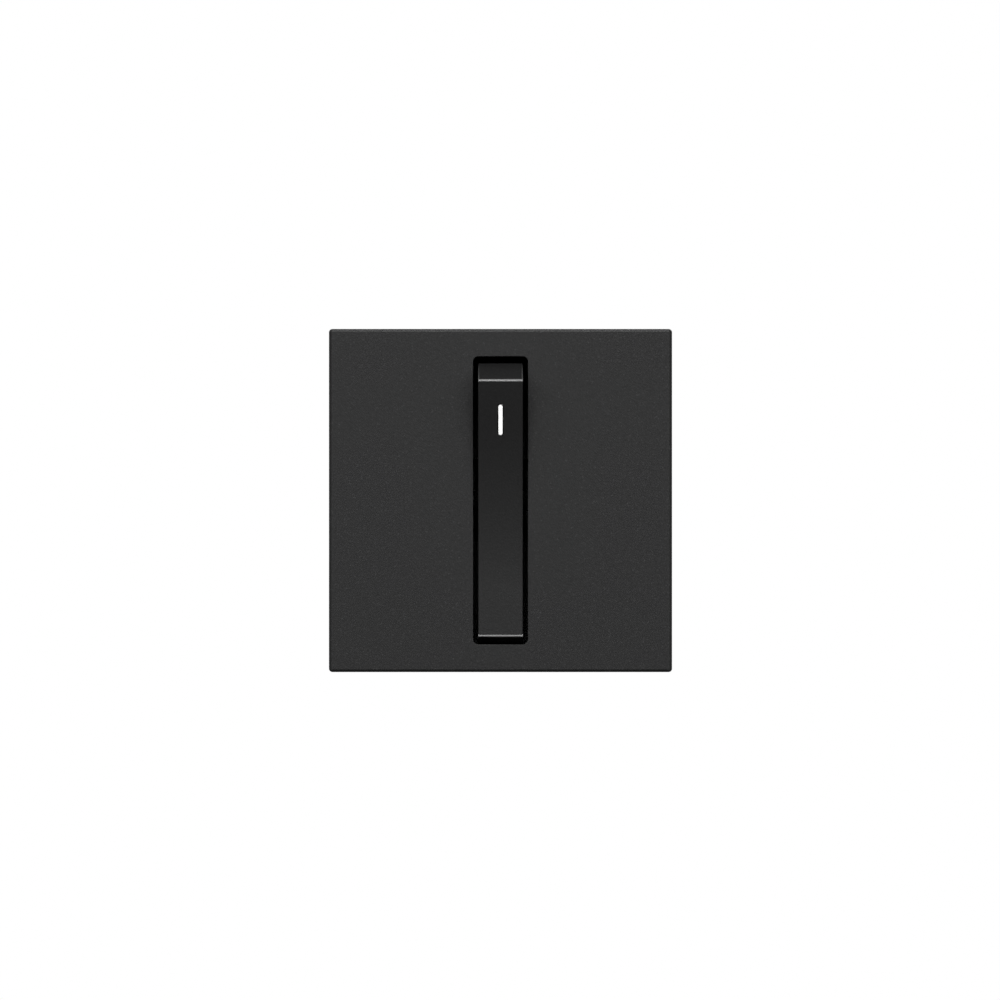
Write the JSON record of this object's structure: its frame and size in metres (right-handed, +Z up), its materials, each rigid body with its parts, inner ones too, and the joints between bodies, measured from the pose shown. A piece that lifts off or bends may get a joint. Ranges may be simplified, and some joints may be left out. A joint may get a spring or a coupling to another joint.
{
  "type": "rocker wall switch",
  "caption": "Square flush wall switch module with a narrow vertical rocker in a slot, a white mark on its upper half, rear wire clamps and side terminal screws.",
  "frame": {"origin": "centre of the plane where the fascia's rear rim meets the front of the mounting frame", "axes": "+X to the right seen from the room, +Y into the wall, +Z up"},
  "size_m": [0.045, 0.0413, 0.045],
  "materials": {
    "fascia_finish": "fine-grained graphite paint on moulded plastic",
    "rocker_plastic": "satin moulded plastic with a very fine texture",
    "body_moulding": "dull moulded engineering plastic",
    "mark_white": "smooth white moulded insert",
    "white_plastic": "smooth natural acetal",
    "terminal_brass": "stamped, slightly dulled",
    "screw_brass": "plated screw",
    "screw_black": "black oxide",
    "screw_green": "green-dyed zinc",
    "contact_silver": "polished silver alloy",
    "zinc_steel": "bright zinc",
    "soft_rubber": "matt elastomer"
  },
  "bodies": {
    "base": {"fascia": "fascia_finish", "carrier": "body_moulding", "housing": "body_moulding", "rear_cover": "body_moulding", "assembly_screws": "zinc_steel", "bumper_upper": "soft_rubber", "bumper_lower": "soft_rubber", "traveller_terminal_upper": "terminal_brass", "traveller_terminal_lower": "terminal_brass", "common_terminal": "terminal_brass", "ground_terminal": "terminal_brass", "fixed_contact_upper": "contact_silver", "fixed_contact_lower": "contact_silver"},
    "rocker": {"rocker": "rocker_plastic", "indicator_insert": "mark_white", "plunger_spring": "zinc_steel"},
    "plunger": {"plunger": "white_plastic"},
    "lever": {"contact_lever": "terminal_brass", "moving_contact_upper": "contact_silver", "moving_contact_lower": "contact_silver"},
    "clamp_traveller_upper": {"clamp_traveller_upper": "zinc_steel"},
    "screw_traveller_upper": {"screw_traveller_upper": "screw_brass"},
    "clamp_traveller_lower": {"clamp_traveller_lower": "zinc_steel"},
    "screw_traveller_lower": {"screw_traveller_lower": "screw_brass"},
    "clamp_common": {"clamp_common": "zinc_steel"},
    "screw_common": {"screw_common": "screw_black"},
    "clamp_ground": {"clamp_ground": "zinc_steel"},
    "screw_ground": {"screw_ground": "screw_green"}
  },
  "joints": [
    {"name": "rocker_tilt", "type": "hinge", "parent": "base", "child": "rocker", "pos_m": [0, 0.0043, 0], "axis": [-1, 0, 0], "range_deg": [0, 12]},
    {"name": "plunger_slide", "type": "slide", "parent": "rocker", "child": "plunger", "axis": [0, -0.9945, -0.1045], "range_m": [0, 0.0008], "stiffness_N_per_m": 300, "springref_m": -0.002, "deforming": ["plunger_spring"]},
    {"name": "lever_tilt", "type": "hinge", "parent": "base", "child": "lever", "pos_m": [0, 0.01865, 0], "axis": [1, 0, 0], "range_deg": [0, 12]},
    {"name": "screw_traveller_upper_turn", "type": "hinge", "parent": "base", "child": "screw_traveller_upper", "pos_m": [-0.01885, 0.0264, 0.0086], "axis": [1, 0, 0], "range_deg": [0, 1080]},
    {"name": "clamp_traveller_upper_slide", "type": "slide", "parent": "base", "child": "clamp_traveller_upper", "axis": [-1, 0, 0], "range_m": [0, 0.0018]},
    {"name": "screw_traveller_lower_turn", "type": "hinge", "parent": "base", "child": "screw_traveller_lower", "pos_m": [-0.01885, 0.0264, -0.0086], "axis": [1, 0, 0], "range_deg": [0, 1080]},
    {"name": "clamp_traveller_lower_slide", "type": "slide", "parent": "base", "child": "clamp_traveller_lower", "axis": [-1, 0, 0], "range_m": [0, 0.0018]},
    {"name": "screw_common_turn", "type": "hinge", "parent": "base", "child": "screw_common", "pos_m": [0.01885, 0.0264, 0.0086], "axis": [-1, 0, 0], "range_deg": [0, 1080]},
    {"name": "clamp_common_slide", "type": "slide", "parent": "base", "child": "clamp_common", "axis": [1, 0, 0], "range_m": [0, 0.0018]},
    {"name": "screw_ground_turn", "type": "hinge", "parent": "base", "child": "screw_ground", "pos_m": [0.01885, 0.0264, -0.0086], "axis": [-1, 0, 0], "range_deg": [0, 1080]},
    {"name": "clamp_ground_slide", "type": "slide", "parent": "base", "child": "clamp_ground", "axis": [1, 0, 0], "range_m": [0, 0.0018]}
  ],
  "couplings": [
    {"joint": "lever_tilt", "follows": "rocker_tilt", "ratio": 1},
    {"joint": "screw_traveller_upper_turn", "follows": "clamp_traveller_upper_slide", "rad_per_m": 10472},
    {"joint": "screw_traveller_lower_turn", "follows": "clamp_traveller_lower_slide", "rad_per_m": 10472},
    {"joint": "screw_common_turn", "follows": "clamp_common_slide", "rad_per_m": 10472},
    {"joint": "screw_ground_turn", "follows": "clamp_ground_slide", "rad_per_m": 10472}
  ]
}
